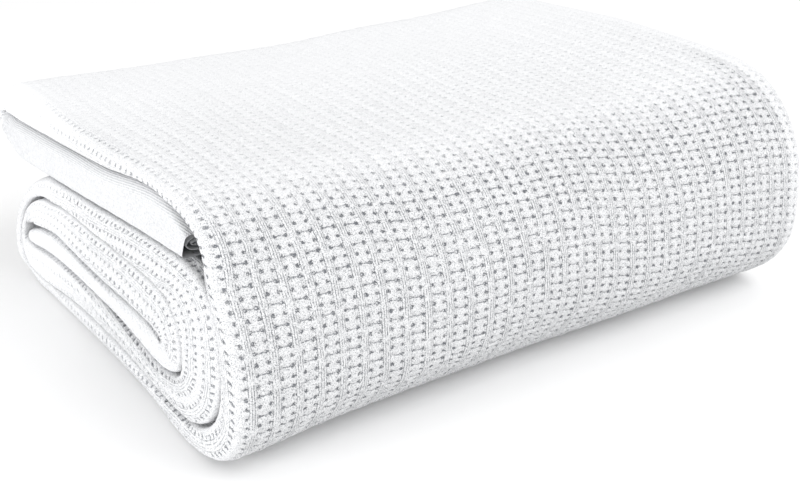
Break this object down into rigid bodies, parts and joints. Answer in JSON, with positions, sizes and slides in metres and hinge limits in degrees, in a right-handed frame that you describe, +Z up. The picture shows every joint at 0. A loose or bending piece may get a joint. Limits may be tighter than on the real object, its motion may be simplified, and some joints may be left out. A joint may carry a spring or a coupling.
{
  "type": "folded blanket",
  "caption": "White cotton thermal blanket in an open waffle weave, folded and rolled flat into a soft rectangular pile.",
  "frame": {"origin": "middle of the pile's bounding box in plan, at its flat underside", "axes": "+X along the long front face (the folded strip's width), +Y from the rounded front to the back, +Z up"},
  "size_m": [0.42, 0.3203, 0.1489],
  "materials": {
    "white_cotton": "matte open waffle weave"
  },
  "bodies": {
    "root": {"blanket": "white_cotton"}
  },
  "joints": []
}
